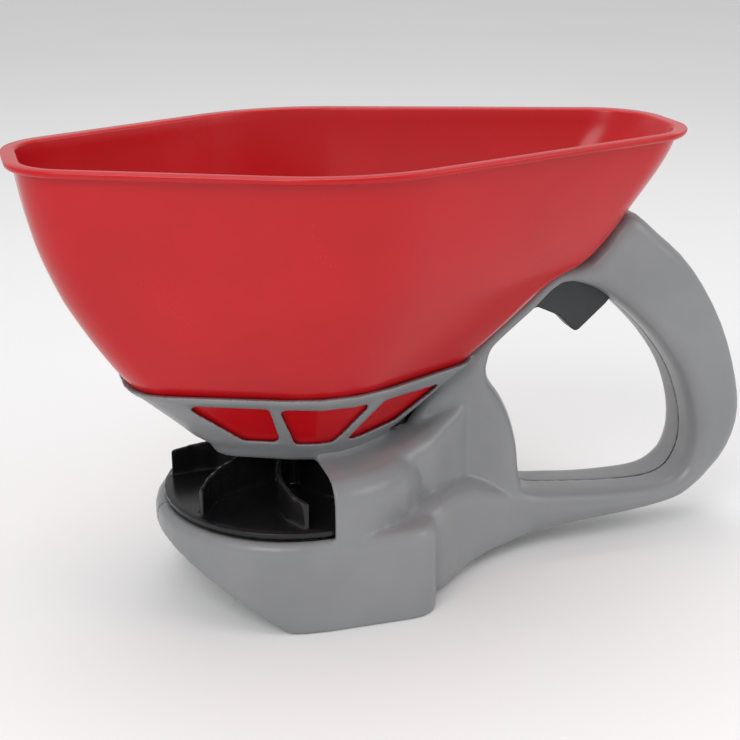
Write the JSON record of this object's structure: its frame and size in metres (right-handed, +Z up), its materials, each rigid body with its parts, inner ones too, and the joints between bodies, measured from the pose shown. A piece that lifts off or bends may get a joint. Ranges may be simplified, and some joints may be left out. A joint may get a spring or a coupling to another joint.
{
  "type": "hand broadcast spreader",
  "caption": "Hand-held broadcast spreader: a seed hopper over a crank-driven impeller, with a D-handle and a finger trigger that opens the feed gate.",
  "frame": {"origin": "on the foot plane, where the impeller shaft's axis crosses the underside of the base plate", "axes": "+Z up along the impeller shaft, +X to the handle, +Y to the crank"},
  "size_m": [0.3304, 0.1975, 0.197],
  "materials": {
    "hopper": "gloss moulded",
    "body": "satin moulded",
    "impeller": "satin moulded",
    "crank": "satin moulded",
    "trigger": "satin moulded",
    "gear": "smooth acetal",
    "bush": "sintered bronze",
    "steel": "zinc plated"
  },
  "bodies": {
    "frame": {"hopper": "hopper", "body_left": "body", "body_right": "body", "base_plate": "body", "gear_cover": "body", "axle_bush_inner": "bush", "axle_bush_outer": "bush", "layshaft_bush_inner": "bush", "layshaft_bush_outer": "bush", "shaft_bush_lower": "bush", "shaft_bush_upper": "bush", "thrust_washer": "gear", "return_spring": "steel", "body_screw_1": "steel", "body_screw_2": "steel", "body_screw_3": "steel", "body_screw_4": "steel", "body_screw_5": "steel", "cover_screw_1": "steel", "cover_screw_2": "steel", "cover_screw_3": "steel", "cover_screw_4": "steel", "hopper_screw_1": "steel", "hopper_screw_2": "steel", "hopper_screw_3": "steel", "hopper_screw_4": "steel", "plate_screw_1": "steel", "plate_screw_2": "steel", "plate_screw_3": "steel", "plate_screw_4": "steel"},
    "crank": {"crank_axle": "steel", "crank_gear": "gear", "crank_arm": "crank", "crank_screw": "steel", "knob_bolt": "steel"},
    "knob": {"crank_knob": "crank"},
    "layshaft": {"layshaft": "steel", "layshaft_bevel": "gear", "layshaft_pinion": "gear"},
    "impeller": {"impeller": "impeller", "impeller_shaft": "steel", "impeller_bevel": "gear", "agitator": "impeller", "agitator_nut": "steel"},
    "trigger": {"trigger": "trigger", "pull_strip": "trigger"},
    "gate": {"shutter_gate": "trigger"},
    "link": {"gate_link": "steel"}
  },
  "joints": [
    {"name": "crank_turn", "type": "hinge", "parent": "frame", "child": "crank", "pos_m": [0.03186, 0.0616, 0.046], "axis": [0, 1, 0], "continuous": true},
    {"name": "knob_spin", "type": "hinge", "parent": "crank", "child": "knob", "pos_m": [0.03186, 0.0846, 0.104], "axis": [0, 1, 0], "continuous": true},
    {"name": "layshaft_turn", "type": "hinge", "parent": "frame", "child": "layshaft", "pos_m": [0, 0.0616, 0.0175], "axis": [0, 1, 0], "continuous": true},
    {"name": "impeller_spin", "type": "hinge", "parent": "frame", "child": "impeller", "pos_m": [0, 0, 0.045], "axis": [0, 0, 1], "continuous": true},
    {"name": "trigger_pull", "type": "slide", "parent": "frame", "child": "trigger", "axis": [0.7733, 0, 0.634], "range_m": [0, 0.007], "stiffness_N_per_m": 300, "springref_m": -0.004},
    {"name": "gate_slide", "type": "slide", "parent": "frame", "child": "gate", "axis": [1, 0, 0], "range_m": [0, 0.01003], "deforming": ["return_spring"]},
    {"name": "link_swing", "type": "hinge", "parent": "trigger", "child": "link", "pos_m": [0.07607, 0, 0.08945], "axis": [0, -1, 0], "range_deg": [0, 14.25]}
  ],
  "couplings": [
    {"joint": "layshaft_turn", "follows": "crank_turn", "ratio": -3.3846},
    {"joint": "impeller_spin", "follows": "crank_turn", "ratio": 3.3846},
    {"joint": "gate_slide", "follows": "trigger_pull", "ratio": 1.4324},
    {"joint": "link_swing", "follows": "trigger_pull", "rad_per_m": 35.502}
  ]
}
